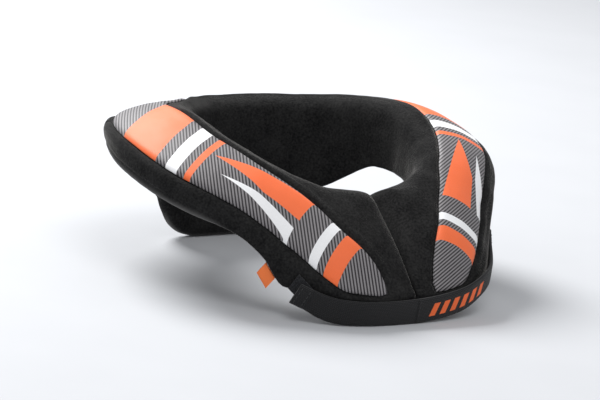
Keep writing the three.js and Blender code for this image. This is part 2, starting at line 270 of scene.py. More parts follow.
floor_corners = np.array([[-1, -1, 0], [1, -1, 0], [1, 1, 0], [-1, 1, 0]], float) * FLOOR_HALF
floor = build("floor", floor_corners, [[0, 1, 2, 3]])
floor_finish, tree, shader = start_finish("floor_paper", 0.7, 0.2, 0.0, 0.5, (1, 1, 1, 1))
cloudy = noise(tree, object_place(tree), 90)
paint(tree, shader, blend(tree, cloudy, (0.50, 0.51, 0.53, 1), (0.53, 0.54, 0.56, 1)))
floor.data.materials.append(floor_finish)
print("floor is", FLOOR_HALF * 2 / 1000, "m wide")

# %% [markdown]
# ## The collar's section
# Cut the collar by an upright plane through the neck axis and you see a soft wedge: a high rounded
# rim beside the neck, and a face that slopes out to a thin lip. The table gives that wedge at ten
# angles, from 0 at the front to 180 at the back; r is the distance from the neck axis, z the height.
# A second table says how the left side differs: it lies a little higher and is wider at the neck.
# Curves that never overshoot join the rows. A subdivided cage would also do, but a table lets
# every other piece find its place on the same skin.

# %% Section tables
COLLAR = np.array([
    # ang neckR neckZ baseR baseZ crestR crestZ edgeR edgeZ lipR lipZ bulge
    [0, 62, 62, 67, 48, 84, 81, 143, 33.5, 140, 28, 3],
    [20, 64, 64, 69, 50, 86, 83, 146, 38, 143, 30.5, 7],
    [36, 69, 68, 73, 54, 88, 89, 137, 51, 134, 31, 7],
    [43, 71, 71, 75, 58, 88, 92, 133, 62, 131, 47, 6],
    [52, 72, 75, 76, 63, 89, 96, 132, 72, 129, 58, 5],
    [70, 73, 78, 77, 68, 89, 102, 136, 83, 133, 66.7, 3],
    [95, 73, 74, 77, 65.5, 88, 108.5, 132.8, 89, 129.8, 73.5, 3],
    [125, 71, 52, 76, 41, 88, 101, 125, 85.5, 121, 77, 2],
    [150, 67, 38, 75, 30, 87, 95, 112, 75, 108, 69, 2],
    [180, 65, 34, 74, 25, 87, 94, 108, 69, 104, 61, 3],
], float)
LEFT = np.array([
    # ang, then on the left: how much higher the crest and the edge, fuller the face, wider the neck
    [0, 0, 0, 0, 1.5], [20, 0, 0.4, 0, 4], [40, 0, 1, 0, 7],
    [60, 0.3, 4.5, 0.5, 2.5], [75, 0.6, 6, 0.8, 0], [95, 0.8, 4.5, 0.5, 0],
    [125, 1.6, 3, 0.3, 0], [150, 1.6, 1.8, 0, 0], [180, 0, 0, 0, 0],
])


def hermite(t, start, end, leave, arrive):
    return ((1 + 2 * t) * (1 - t) ** 2 * start + t * (1 - t) ** 2 * leave
            + t * t * (3 - 2 * t) * end + t * t * (t - 1) * arrive)


def smooth(xs, ys):
    step = np.diff(xs)
    slope = np.diff(ys) / step
    tangent = np.zeros(len(xs))
    for i in range(1, len(xs) - 1):
        if slope[i - 1] * slope[i] > 0:
            a, b = 2 * step[i] + step[i - 1], step[i] + 2 * step[i - 1]
            tangent[i] = (a + b) / (a / slope[i - 1] + b / slope[i])

    def at(x):
        x = np.clip(x, xs[0], xs[-1])
        i = np.clip(np.searchsorted(xs, x) - 1, 0, len(step) - 1)
        t = (x - xs[i]) / step[i]
        return hermite(t, ys[i], ys[i + 1], step[i] * tangent[i], step[i] * tangent[i + 1])
    return at


def columns_of(table):
    return [smooth(table[:, 0], table[:, k]) for k in range(1, table.shape[1])]


collar_column, left_column = columns_of(COLLAR), columns_of(LEFT)
print("rim height in mm at 0, 90, 180:", [round(float(collar_column[5](a)), 1) for a in (0, 90, 180)])

# %% One section as a closed loop
FACE_STOPS = (0.25, 0.5, 0.75, 0.93)
CREST, LIP, KNOTS = 3, 9, 11
ROLL_TURN, ROLL_HEIGHT, ROLL_OUT = (38, 70), (0.68, 0.83), 0.20
LIP_SHARE, SIDE_OUT, SIDE_DROP = 0.6, 1.5, 0.3
UNDER_IN, UNDER_UP = 0.45, 4.0
CORE_IN, CORE_UP = 11.0, 3.0


def section_knots(ang):
    """Knots round the section, the two ends of its core line, and a depth below its face."""
    neck_r, neck_z, base_r, base_z, crest_r, crest_z, edge_r, edge_z, lip_r, lip_z, bulge = (
        column(np.abs(ang)) for column in collar_column)
    crest_up, edge_up, fuller, wider = (np.where(np.signbit(ang), 0.0, column(np.abs(ang)))
                                        for column in left_column)
    neck_r, base_r, bulge = neck_r + wider, base_r + wider, bulge + fuller
    crest_z, edge_z, lip_z = crest_z + crest_up, edge_z + edge_up, lip_z + LIP_SHARE * edge_up
    roll = np.interp(np.abs(ang), ROLL_TURN, ROLL_HEIGHT)
    dr, dz = edge_r - crest_r, edge_z - crest_z
    length = np.hypot(dr, dz)
    pairs = [(base_r, base_z), (neck_r, neck_z),
             (neck_r + ROLL_OUT * (crest_r - neck_r), neck_z + roll * (crest_z - neck_z)),
             (crest_r, crest_z)]
    for f in FACE_STOPS:
        rise = 4 * bulge * f * (1 - f)
        pairs.append((crest_r + dr * f - dz / length * rise, crest_z + dz * f + dr / length * rise))
    pairs += [(edge_r + SIDE_OUT, edge_z + SIDE_DROP * (lip_z - edge_z)), (lip_r, lip_z),
              (lip_r + UNDER_IN * (base_r - lip_r), (lip_z + base_z) / 2 + UNDER_UP)]
    core_a = np.stack([(crest_r + base_r) / 2, (crest_z + base_z) / 2], -1)
    core_b = np.stack([edge_r - CORE_IN, (edge_z + lip_z) / 2 + CORE_UP], -1)

    def depth(flat):
        out, rise = flat[..., 0] - crest_r[:, None], flat[..., 1] - crest_z[:, None]
        return bulge[:, None] + (out * dz[:, None] - rise * dr[:, None]) / length[:, None]
    return np.stack([np.stack(p, -1) for p in pairs], 1), core_a, core_b, depth


def loop_point(knots, s):
    i = np.floor(s).astype(int)
    t = (s - i)[..., None]
    row = np.arange(len(knots))[:, None]
    p0, p1, p2, p3 = (knots[row, (i + k) % KNOTS] for k in (-1, 0, 1, 2))
    return 0.5 * (2 * p1 + (p2 - p0) * t + (2 * p0 - 5 * p1 + 4 * p2 - p3) * t ** 2
                  + (3 * p1 - p0 - 3 * p2 + p3) * t ** 3)


front_loop = loop_point(section_knots(np.array([0.0]))[0], np.linspace(0, KNOTS, 400)[None])[0]
print("front section spans", np.ptp(front_loop, axis=0).round(1), "mm out and up")

# %% [markdown]
# ## The split and its two ends
# The collar opens at the front, and its two padded ends meet there. Both ends are rounded, more at
# the rim than at the lip, and the left one is cut back on its face so that the right one laps over
# it. A boolean cut would leave hard edges that need beveling afterwards. Moving the points of the
# last sections instead, toward the section's core line and away from the split, keeps one skin.

# %% Round and cut the ends
ENDS = np.array([
    # length and inset at the rim, then at the lip: the right end, then the left end
    [11.0, 4.4, 7.0, 3.0], [10.0, 8.5, 4.5, 2.0],
])
INSET_MOST = 0.7
CUT_LEFT, CUT_REACH, CUT_DEPTH_RIM, CUT_DEPTH_LIP = 22.0, 60.0, 30.0, 8.0
CUT_FADE, CUT_POWER = 0.9, 1.2


def core_share(flat, core_a, axis):
    """How far along the core line each point lies, from 0 at the rim to 1 at the lip."""
    return np.clip(((flat - core_a[:, None]) * axis).sum(-1) / (axis ** 2).sum(-1), 0, 1)


def end_move(flat, along, ang, core_a, axis):
    """The move toward the core line that rounds the two ends by a quarter of an ellipse."""
    t = core_share(flat, core_a, axis)
    end = ENDS[np.where(np.signbit(ang), 0, 1)][:, None]
    length = end[..., 0] + (end[..., 2] - end[..., 0]) * t
    inset = end[..., 1] + (end[..., 3] - end[..., 1]) * t
    inset = inset * (1 - np.sqrt(1 - (1 - np.clip(along / length, 0, 1)) ** 2))
    inward = core_a[:, None] + axis * t[..., None] - flat
    reach = np.linalg.norm(inward, axis=-1)
    near = (along < length) & (np.abs(ang) < 90)[:, None]
    return inward * (np.where(near, np.minimum(inset, INSET_MOST * reach), 0) / reach)[..., None]


def left_cut(below, along, t):
    """How far the left end is cut back: most at the rim's surface, nothing deep inside."""
    limit = CUT_DEPTH_RIM + (CUT_DEPTH_LIP - CUT_DEPTH_RIM) * t
    fade = (1 - CUT_FADE * t) ** CUT_POWER * (1 - np.clip(along / CUT_REACH, 0, 1)) ** 2
    return CUT_LEFT * fade * np.clip(1 - below / limit, 0, 1)


print("rim rounded by", ENDS[0, 1], "mm at the right end and", ENDS[1, 1], "mm at the left")

# %% Skin of the collar
NECK_Y, SPLIT_GAP = 17.6, 0.1


def skin(ang, s, shrink=0.0):
    """Points in mm at signed angles (n) and loop places (n, m); shrink draws them to the middle."""
    knots, core_a, core_b, depth = section_knots(ang)
    axis = (core_b - core_a)[:, None]
    turn = np.radians(np.abs(ang))[:, None]
    flat = loop_point(knots, s)
    along = flat[..., 0] * np.sin(turn)
    flat = flat + end_move(flat, along, ang, core_a, axis)
    flat = flat + ((core_a + core_b)[:, None] / 2 - flat) * np.reshape(shrink, (-1, 1, 1))
    side = np.where(np.signbit(ang), -1.0, 1.0)[:, None]
    slit = SPLIT_GAP / 2 * (0.5 + 0.5 * np.cos(turn))
    cut = left_cut(depth(flat), along, core_share(flat, core_a, axis))
    slit = slit + np.where((side > 0) & (turn < math.pi / 2), cut, 0)
    return np.stack([side * (slit + flat[..., 0] * np.sin(turn)),
                     NECK_Y - flat[..., 0] * np.cos(turn), flat[..., 1]], -1)


tall = skin(np.array([90.0]), np.array([[float(CREST)]]))[0, 0]
print("rim point at the side in mm:", np.round(tall, 1))

# %% [markdown]
# ## Where the printed panels lie
# Each panel covers the sloping face between an inner and an outer line and ends in a point at
# the front. The pad needs those lines too, because its cover is sewn to the panel along them, so
# they come first. The left panel reaches a little nearer to the split. The lines are shares of the
# face, 0 at the crest and 1 at the edge, so they stay on the skin when the skin changes.

# %% Panel lines
PANEL_INNER = np.array([
    # ang, right panel, left panel
    [9.2, 0.92, 0.92], [10.3, 0.82, 0.83], [12.3, 0.7, 0.7], [15, 0.61, 0.58], [20, 0.5, 0.445],
    [28, 0.31, 0.285], [36, 0.21, 0.2], [45, 0.17, 0.135], [52, 0.13, 0.095], [60, 0.07, 0.08],
    [70, 0.035, 0.1], [85, 0.035, 0.165], [100, 0.035, 0.26], [115, 0.035, 0.3], [150, 0.035, 0.3],
])
PANEL_OUTER = np.array([
    # ang, right panel, left panel
    [9.2, 1.0, 1.01], [12, 1.045, 1.02], [17, 1.05, 1.015], [20, 1.05, 0.985], [25, 0.985, 0.9],
    [31, 0.93, 0.835], [36, 0.9, 0.81], [45, 0.93, 0.795], [60, 0.935, 0.82], [90, 0.92, 0.89],
    [115, 0.9, 0.9], [180, 0.9, 0.9],
])
SIDES = (-1, 1)
panel_inner, panel_outer = (dict(zip(SIDES, columns_of(table))) for table in (PANEL_INNER, PANEL_OUTER))
print("rows for the inner and outer lines:", len(PANEL_INNER), len(PANEL_OUTER))

# %% Panel edges
PANEL_FRONT, PANEL_BACK, PANEL_END, LEFT_TURN = 9.2, 160.0, 9.0, 3.0
BLUNT_SHARE, THIN_SHARE = 0.3, 0.03
FACE_SHARES, FACE_LOOPS = (0, *FACE_STOPS, 1.05), CREST + np.arange(len(FACE_STOPS) + 2)


def across_to_loop(f):
    return np.interp(f, FACE_SHARES, FACE_LOOPS)


def panel_front(side):
    return PANEL_FRONT - (LEFT_TURN if side > 0 else 0)


def panel_edges(ang, side, rounded=True):
    at = ang + (LEFT_TURN if side > 0 else 0.0)
    inner, outer = panel_inner[side](at), panel_outer[side](at)
    into = np.clip((PANEL_BACK - ang) / PANEL_END, 0, 1)
    narrow = BLUNT_SHARE + (1 - BLUNT_SHARE) * np.sqrt(1 - (1 - into) ** 2) if rounded else 1.0
    middle, half = (inner + outer) / 2, np.maximum((outer - inner) / 2, THIN_SHARE) * narrow
    return middle - half, middle + half


def panel_outline(side, steps=700, end_steps=24):
    ang = np.linspace(panel_front(side), PANEL_BACK, steps)
    inner, outer = panel_edges(ang, side)
    lines = skin(side * ang, across_to_loop(np.stack([inner, outer], -1)))
    ends = []
    for k in (0, -1):
        f = np.linspace(inner[k], outer[k], end_steps)
        ends.append(skin(np.array([side * ang[k]]), across_to_loop(f)[None])[0])
    return np.concatenate([lines[:, 0], lines[:, 1], *ends])


outlines = {side: panel_outline(side) for side in SIDES}
print("outline points on each panel:", len(outlines[1]))

# %% [markdown]
# ## The padded collar
# Foam fills the cover, so the skin is full and smooth, but sewing shapes it: the cover dips into
# a groove along each panel and swells beside it, a welt runs round the lip, and the foam leaves
# soft dents. A cloth simulation could find these forms, but a tight cover over full foam hardly
# moves, so they are moved in code along the skin's normals. The grid's lines follow the panels'
# edges, so the grooves come out clean.

# %% Soft moves
WAVES = 7


def lumps(points, size, seed):
    draw = np.random.default_rng(seed)
    total = np.zeros(points.shape[:-1])
    for _ in range(WAVES):
        way = draw.normal(size=3)
        way *= draw.uniform(0.7, 1.4) / np.linalg.norm(way)
        total += np.sin(points @ way * 2 * math.pi / size + draw.uniform(0, 2 * math.pi))
    return total / WAVES


def ease(x, low, high):
    t = np.clip((x - low) / (high - low), 0, 1)
    return t * t * (3 - 2 * t)


def bell(x, wide):
    return np.exp(-(x / wide) ** 2)


def unit(v):
    return v / np.maximum(np.linalg.norm(v, axis=-1, keepdims=True), 1e-9)


def run_along(points):
    return np.concatenate([[0], np.cumsum(np.linalg.norm(np.diff(points, axis=0), axis=1))])


def share_map(share):
    return np.stack([share, np.zeros_like(share)], -1)


def distance_to(points, places):
    finder = KDTree(len(places))
    for i, p in enumerate(places):
        finder.insert(p, i)
    finder.balance()
    flat = points.reshape(-1, 3)
    return np.array([finder.find(p)[2] for p in flat]).reshape(points.shape[:-1])


print("dents at three points, as shares:", lumps(np.eye(3) * 10, 26, 2).round(2))

# %% Collar grid
END_STATIONS, BODY_STATIONS, END_TURN, END_CROWD = 30, 148, 14.0, 1.7
CAP = np.array([0.03, 0.08, 0.16, 0.28, 0.42, 0.58, 0.76, 0.96])
SPANS = (26, 14, 24, 18, 38)
half_turn = np.concatenate([END_TURN * np.linspace(0, 1, END_STATIONS) ** END_CROWD,
                            np.linspace(END_TURN, 180, BODY_STATIONS)[1:]])
at_split = np.zeros(len(CAP))
angles = np.concatenate([at_split, half_turn, -half_turn[-2::-1], -at_split])
shrink = np.concatenate([CAP[::-1], np.zeros(len(angles) - 2 * len(CAP)), CAP])


def collar_loop(ang):
    side = -1 if np.signbit(ang) else 1
    held = np.clip(abs(ang), panel_front(side), 180.0)
    inner, outer = panel_edges(np.array([held]), side, rounded=False)
    stops = [CREST, across_to_loop(inner)[0], across_to_loop(outer)[0], LIP, KNOTS, KNOTS + CREST]
    return np.concatenate([np.linspace(a, b, n, endpoint=False)
                           for a, b, n in zip(stops[:-1], stops[1:], SPANS)])


loops = np.stack([collar_loop(a) for a in angles])
pad_points = skin(angles, loops, shrink)
round_section = (np.roll(pad_points, -1, 1) - np.roll(pad_points, 1, 1)) / 2
pad_normals = unit(np.cross(round_section, np.gradient(pad_points, axis=0)))
pad_normals *= np.sign(pad_normals[len(half_turn) // 2, 0, 2])
print("collar grid:", pad_points.shape[:2])

# %% Seams beside the panels
GROOVE, GROOVE_WIDE = 1.5, 1.5
SWELL, SWELL_AT, SWELL_WIDE = 0.6, 4.5, 2.6
SUNK, SUNK_WITHIN = 0.7, 2.5


def panel_seams(points, ang, loop):
    """Relief in mm: a groove on the seam, a swell beside it, and room under the panel's cloth."""
    turn = np.abs(ang)[:, None]
    f = np.interp(loop, FACE_LOOPS, FACE_SHARES)
    on_face = (loop >= FACE_LOOPS[0]) & (loop <= FACE_LOOPS[-1])
    relief = np.zeros(points.shape[:2])
    for side in SIDES:
        mine = np.signbit(ang) == (side < 0)
        inner, outer = panel_edges(np.abs(ang), side)
        covered = ((turn > panel_front(side)) & (turn < PANEL_BACK) & on_face
                   & (f > inner[:, None]) & (f < outer[:, None]))
        gap = distance_to(points[mine], outlines[side])
        groove = -GROOVE * bell(gap, GROOVE_WIDE)
        swell = SWELL * bell(gap - SWELL_AT, SWELL_WIDE)
        under = -SUNK * ease(gap, 0, SUNK_WITHIN)
        relief[mine] += np.where(covered[mine], groove + under, groove + swell)
    return relief


relief = panel_seams(pad_points, angles, loops)
print("panel seams move the pad from", relief.min().round(2), "to", relief.max().round(2), "mm")

# %% Welt, seams and dents
STRAP_CLEAR, LIP_STEP, WELT_SHIFT = (50, 62), 14.0, 1.0
WELT, WELT_WIDE, DITCH, DITCH_AT, DITCH_WIDE = 1.4, 2.3, 0.8, 4.6, 1.5
SEWN_RISE, SEWN_TURN, SEWN_LONG, SEWN_ABOVE, SEWN_TALL = 1.8, 36, 6, 0.35, 0.45
SEAM, SEAM_TURN, SEAM_WIDE, MM_PER_DEGREE = 1.1, 118.0, 1.3, 2.15
WALL_SEAM, WALL_SEAM_AT, WALL_SEAM_WIDE = 0.6, 1.62, 0.035
turn, wall = np.abs(angles)[:, None], loops - KNOTS
clear_of_strap = ease(turn, *STRAP_CLEAR)
lip_gap = (loops - LIP) * LIP_STEP + WELT_SHIFT
welt = bell(lip_gap, WELT_WIDE)
relief += clear_of_strap * (WELT * welt - DITCH * bell(np.abs(lip_gap) - DITCH_AT, DITCH_WIDE))
strap_pad = bell(turn - SEWN_TURN, SEWN_LONG) * bell(loops - LIP + SEWN_ABOVE, SEWN_TALL)
relief += np.where(np.signbit(angles), 0.0, SEWN_RISE)[:, None] * strap_pad
on_side = ease(loops, 7.0, 7.2) * (1 - ease(loops, 9.4, 9.8))
relief -= SEAM * bell((turn - SEAM_TURN) * MM_PER_DEGREE, SEAM_WIDE) * on_side
relief -= WALL_SEAM * bell(wall - WALL_SEAM_AT, WALL_SEAM_WIDE) * ease(turn, 60, 80)
inside_wall = ease(wall, 0.2, 0.8) * (1 - ease(wall, 2.2, 2.8))
relief += inside_wall * 0.7 * lumps(pad_points * np.array([1, 1, 0.35]), 34, 5)
relief += 0.35 * lumps(pad_points, 26, 2) + 0.12 * lumps(pad_points, 9, 3)
relief *= (1 - shrink)[:, None] * ease(turn, 0, 4)
# A painted highlight along the welt on the lip, for the light that the welt catches; it goes in the "edge"
# map
welt_painted_highlight = share_map(clear_of_strap * welt)
collar = tube("collar_pad_fleece", pad_points + pad_normals * relief[..., None], {"edge": welt_painted_highlight})
count(collar)

# %% [markdown]
# ## Black fleece
# The cover is a black brushed knit. Its pile catches light at a grazing angle, which the sheen
# gives, and up close it is a field of tiny tufts, which noise of several sizes gives in colour and
# bump. The noise uses object space, so it has no seams. The welt and the flap's hem stand proud,
# and a painted highlight along them stands in for the light that their edges catch, so those two
# meshes carry a map that says where.

# %% Fleece
TUFT, TUFT_CONTRAST, PATCH, FIBRE, FIBRE_SHARE = 1.4, 2.2, 14.0, 0.35, 0.45
FLEECE_DARK, FLEECE_LIGHT = (0.0070, 0.0070, 0.0073, 1), (0.0260, 0.0256, 0.0253, 1)
# Colour of the painted highlight on the welt and the flap's hem, and how much of it is mixed in
FLEECE_PAINTED_HIGHLIGHT, HIGHLIGHT_SHARE = (0.150, 0.147, 0.144, 1), 0.8


def bump(tree, shader, height, depth_mm, strength):
    node = tree.nodes.new("ShaderNodeBump")
    node.inputs["Distance"].default_value = depth_mm * MM
    node.inputs["Strength"].default_value = strength
    tree.links.new(height, node.inputs["Height"])
    tree.links.new(node.outputs["Normal"], shader.inputs["Normal"])


def map_place(tree, label):
    node = tree.nodes.new("ShaderNodeUVMap")
    node.uv_map = label
    split = tree.nodes.new("ShaderNodeSeparateXYZ")
    tree.links.new(node.outputs["UV"], split.inputs[0])
    return split.outputs["X"], split.outputs["Y"]


black_fleece, tree, shader = start_finish("black_fleece", 0.95, 0.05, 0.42, 0.2, (0.9, 0.87, 0.83, 1))
where = object_place(tree)
tufts, patches, fibre = noise(tree, where, TUFT, 3.0), noise(tree, where, PATCH), noise(tree, where, FIBRE)
light = calc(tree, "MULTIPLY_ADD", calc(tree, "SUBTRACT", tufts, 0.5), TUFT_CONTRAST, patches)
light = calc(tree, "MAXIMUM", calc(tree, "MINIMUM", light, 1.0), 0.0)
# The "edge" map says where the painted highlight lies on the welt and the flap's hem
painted_highlight = calc(tree, "MULTIPLY", map_place(tree, "edge")[0], HIGHLIGHT_SHARE)
colour = blend(tree, light, FLEECE_DARK, FLEECE_LIGHT)
paint(tree, shader, blend(tree, painted_highlight, colour, FLEECE_PAINTED_HIGHLIGHT))
bump(tree, shader, calc(tree, "MULTIPLY_ADD", fibre, FIBRE_SHARE, tufts), 0.55, 0.65)
collar.data.materials.append(black_fleece)
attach(collar, "root")
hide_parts("collar_pad")
print("finish:", black_fleece.name, "with", len(tree.nodes), "nodes")

# %% [markdown]
# ## The printed panels
# Each panel is one piece of thin printed cloth, sewn down all round, so it lies on the foam like a
# low cushion and dives into the seam at its edges. A grid between its inner and outer line follows
# the foam, and a distance to the seam says how far the cloth rises. Its length along the middle,
# its widest width and its area are measured and printed.

# %% Panel cloth
PANEL_ALONG, PANEL_ACROSS, PANEL_CROWD = 360, 46, 0.35
SEWN_DOWN, CUSHION, CUSHION_EDGE, CROWN, CLOTH = 0.75, 2.0, 1.9, 0.3, 0.55
TURN_STEP, LOOP_STEP = 0.4, 0.04


def skin_normal(ang, s):
    side = np.where(np.signbit(ang), -1.0, 1.0)
    low, high = np.maximum(np.abs(ang) - TURN_STEP, 0.0), np.abs(ang) + TURN_STEP
    along = (skin(side * high, s) - skin(np.copysign(low, side), s)) * side[:, None, None]
    return unit(np.cross(skin(ang, s + LOOP_STEP) - skin(ang, s - LOOP_STEP), along))


def panel_grid(side):
    t = np.linspace(0, 1, PANEL_ALONG)
    start = panel_front(side)
    ang = start + (PANEL_BACK - start) * (t + PANEL_CROWD * t * (1 - t) * (t - 0.9))
    inner, outer = panel_edges(ang, side)
    even = np.linspace(0, 1, PANEL_ACROSS)
    w = 0.5 * (0.5 - 0.5 * np.cos(even * math.pi)) + 0.5 * even
    return side * ang, across_to_loop(inner[:, None] + (outer - inner)[:, None] * w)


def make_panel(name, side):
    ang, loop = panel_grid(side)
    points, normals = skin(ang, loop), skin_normal(ang, loop)
    gap = distance_to(points, outlines[side])
    lift = -SEWN_DOWN + CUSHION * (1 - np.exp(-gap / CUSHION_EDGE)) + CROWN * ease(gap, 3, 18)
    lift += ease(gap, 1, 8) * (0.28 * lumps(points, 30, 11) + 0.1 * lumps(points, 10, 12))
    piece = shell(name, points + normals * lift[..., None], points + normals * (lift - CLOTH)[..., None])
    length = run_along(points[:, PANEL_ACROSS // 2])[-1]
    width = np.linalg.norm(points[:, -1] - points[:, 0], axis=1).max()
    cells = np.cross(np.diff(points, axis=0)[:, :-1], np.diff(points, axis=1)[:-1])
    area = np.linalg.norm(cells, axis=-1).sum()
    print(name, "is", round(length), "mm long,", round(width), "mm wide, area", round(area), "mm2")
    return piece, np.array([width, length]), area


panels = {node: make_panel(node + "_print", side) for node, side in (("right_panel", -1), ("left_panel", 1))}
for panel, *_ in panels.values():
    count(panel)

# %% [markdown]
# ## The print
# The ground is a fine grey pinstripe on dark cloth, and over it lie racing stripes in orange and
# white: slanted bars across the panel, and two long darts that point to the back. All of it is
# worked out from the place in the object. Pinstripes are a count of equal steps along one
# direction, bars are slices of a slanted ruler in plan, and a dart is a shape with four corners:
# a point is inside where it is on the same side of all four edges. The plan uses the distance from
# the middle plane, so the left panel mirrors the right one. Behind the wide bar the left panel faces
# another way, so its pinstripes take an extra slant there and stay as fine as in front.

# %% Racing stripes
ORANGE, WHITE = (0.95, 0.165, 0.042, 1), (0.92, 0.92, 0.93, 1)
SLANT = 0.43
BARS = [
    # colour, then from and to in mm on the slanted ruler: y + SLANT * distance from the middle
    (ORANGE, 48.5, 88.0), (WHITE, 28.6, 38.7), (ORANGE, 17.2, 22.2),
    (WHITE, -74.3, -68.3), (ORANGE, -89.2, -79.2),
]
DARTS = [
    # colour, then corners in mm as (distance from the middle, y)
    (ORANGE, (99.4, -28.5), (51.3, -75.2), (69.6, -83.3), (85.3, -63.3)),
    (WHITE, (104.3, -42.8), (87.5, -63.8), (74.5, -84.8), (80.5, -87.4)),
]


def inside_shape(tree, along, across, corners):
    result = None
    for (x1, y1), (x2, y2) in zip(corners, corners[1:] + corners[:1]):
        a, b = -(y2 - y1), x2 - x1
        rest = -a * x1 - b * y1
        value = calc(tree, "MULTIPLY_ADD", along, a, calc(tree, "MULTIPLY_ADD", across, b, rest))
        mask = calc(tree, "GREATER_THAN", value, 0.0)
        result = mask if result is None else calc(tree, "MULTIPLY", result, mask)
    return result


def ruler(tree, where, way, step_mm):
    node = tree.nodes.new("ShaderNodeVectorMath")
    node.operation = "DOT_PRODUCT"
    tree.links.new(where, node.inputs[0])
    node.inputs[1].default_value = [v / (step_mm * MM) for v in way]
    return node.outputs["Value"]


print("bars and darts on each panel:", len(BARS), len(DARTS))

# %% Printed cloth
GREY_SHARE, PIN_TURN = 0.52, 70.0
PIN_DARK, PIN_GREY = (0.016, 0.014, 0.016, 1), (0.25, 0.235, 0.243, 1)
WORN, WORN_SIZE, WORN_SHARE = (0.03, 0.03, 0.03, 1), 0.6, 0.16
WAVE_STEP = 0.55 / (2 * math.pi)


def print_finish(name, way, pitch, behind):
    finish, tree, shader = start_finish(name, 0.5, 0.35, 0.08, 0.4, (1, 1, 1, 1))
    where = object_place(tree)
    split = tree.nodes.new("ShaderNodeSeparateXYZ")
    tree.links.new(where, split.inputs[0])
    aside, y = calc(tree, "ABSOLUTE", split.outputs["X"]), split.outputs["Y"]
    slanted = calc(tree, "MULTIPLY_ADD", aside, SLANT, y)
    further = calc(tree, "MAXIMUM", calc(tree, "SUBTRACT", slanted, PIN_TURN * MM), 0.0)
    pins = calc(tree, "MULTIPLY_ADD", further, behind / MM, ruler(tree, where, way, pitch))
    grey = calc(tree, "LESS_THAN", calc(tree, "FRACT", pins), GREY_SHARE)
    colour = blend(tree, grey, PIN_DARK, PIN_GREY)
    for ink, low, high in BARS:
        inside = calc(tree, "MULTIPLY", calc(tree, "GREATER_THAN", slanted, low * MM),
                      calc(tree, "LESS_THAN", slanted, high * MM))
        colour = blend(tree, inside, colour, ink)
    for ink, *corners in DARTS:
        inside = inside_shape(tree, aside, y, [(u * MM, v * MM) for u, v in corners])
        colour = blend(tree, inside, colour, ink)
    worn = calc(tree, "MULTIPLY", noise(tree, where, WORN_SIZE), WORN_SHARE)
    paint(tree, shader, blend(tree, worn, colour, WORN))
    warp = calc(tree, "SINE", ruler(tree, where, way, WAVE_STEP))
    weft = calc(tree, "SINE", ruler(tree, where, (way[1], -way[0], way[2]), WAVE_STEP))
    bump(tree, shader, calc(tree, "MULTIPLY", warp, weft), 0.05, 0.6)
    return finish


print("grey share of the pinstripes:", GREY_SHARE)

# %% Print both panels
PINS = {
    # way across the pinstripes, their step in mm, and stripes added for each mm behind the turn
    "right_panel": ((0.797, -0.550, 0.248), 1.98, 0.0),
    "left_panel": ((-0.458, 0.564, 0.687), 1.81, -0.3),
}
for node, (panel, span, area) in panels.items():
    panel.data.materials.append(print_finish(node + "_print", *PINS[node]))
    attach(panel, "root")
    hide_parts(node)
    print("pinstripes on", panel.name, "every", PINS[node][1], "mm")

# %% [markdown]
# ## The back flap
# A padded tongue hangs under the back of the collar and the collar stands on it. It is two pieces
# of fleece around thin foam, sewn together round the edge, so it is full in the middle and drawn
# in at the seam. Two curved sheets that meet at the edge give that form; an inflated cloth would
# too, but its top would not follow the collar's underside as closely.

# %% Flap's place under the collar
FLAP = np.array([[0, 0], [20, 0], [33, 2.5], [43, 8.5], [51, 20], [57, 30]], float)
flap_bottom = columns_of(FLAP)[0]


def underside(x, y):
    """Height of the collar's lowest skin above a point of the plan."""
    ang = np.degrees(math.atan2(x, NECK_Y - y))
    flat = loop_point(section_knots(np.array([ang]))[0], np.linspace(0, KNOTS, 500)[None])[0]
    r = math.hypot(x, NECK_Y - y)
    cross = (flat[:-1, 0] - r) * (flat[1:, 0] - r) <= 0
    return flat[:-1, 1][cross].min() if cross.any() else math.inf


print("collar's underside over the flap's foot in mm:", round(float(underside(0.0, FOOT_Y)), 1))

# %% Flap
FLAP_THICK, FLAP_HALF, FLAP_TALL, FLAP_TUCK, FLAP_CLEAR = 12.0, 57.0, 26.0, 2.0, 0.8
FLAP_COLUMNS, FLAP_ROWS, FLAP_CROWD = 110, 44, 1.5
FLAP_ROUND, FLAP_SEAM, FLAP_FULL, FLAP_TOP = 9.0, 0.35, 0.94, 4.5
HEM_HIGHLIGHT, HEM_TALL = 0.7, 1.6
xs = FLAP_HALF * np.sin(np.linspace(-1, 1, FLAP_COLUMNS) * math.pi / 2)
rows = np.linspace(0, 1, FLAP_ROWS) ** FLAP_CROWD
sheets = []
for face in (-1, 1):
    sheet_points = np.zeros((FLAP_COLUMNS, FLAP_ROWS, 3))
    for i, x in enumerate(xs):
        low = flap_bottom(abs(x))
        limit = underside(x, FOOT_Y + 1) + FLAP_TUCK
        high = min(underside(x, FOOT_Y + face * FLAP_TOP), limit) - FLAP_CLEAR
        z = low + (high - low) * rows
        edge = np.minimum(z - low, (FLAP_HALF - abs(x)) * 1.6)
        thick = FLAP_THICK / 2 * np.sqrt(1 - (1 - np.clip(edge / FLAP_ROUND, 0, 1)) ** 2)
        y = FOOT_Y + face * (FLAP_SEAM + thick * FLAP_FULL)
        sheet_points[i] = np.stack([np.full_like(z, x), y, z], -1)
    sheet_points[..., 1] += face * 0.35 * lumps(sheet_points, 22, 21 + face) * (rows > 0.02)
    sheet_points[..., 2] += (FOOT_Y - sheet_points[..., 1]) * math.tan(LEAN) * (1 - rows)
    sheets.append(sheet_points)
# A painted highlight along the flap's hem, for the light that its lower edge catches
hem = HEM_HIGHLIGHT * bell(rows * FLAP_TALL, HEM_TALL) * (1 - ease(np.abs(xs), 44, 52))[:, None]
flap = shell("back_flap_fleece", sheets[0], sheets[1], {"edge": share_map(hem)})
flap.data.materials.append(black_fleece)
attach(flap, "root")
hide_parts("back_flap")
count(flap)

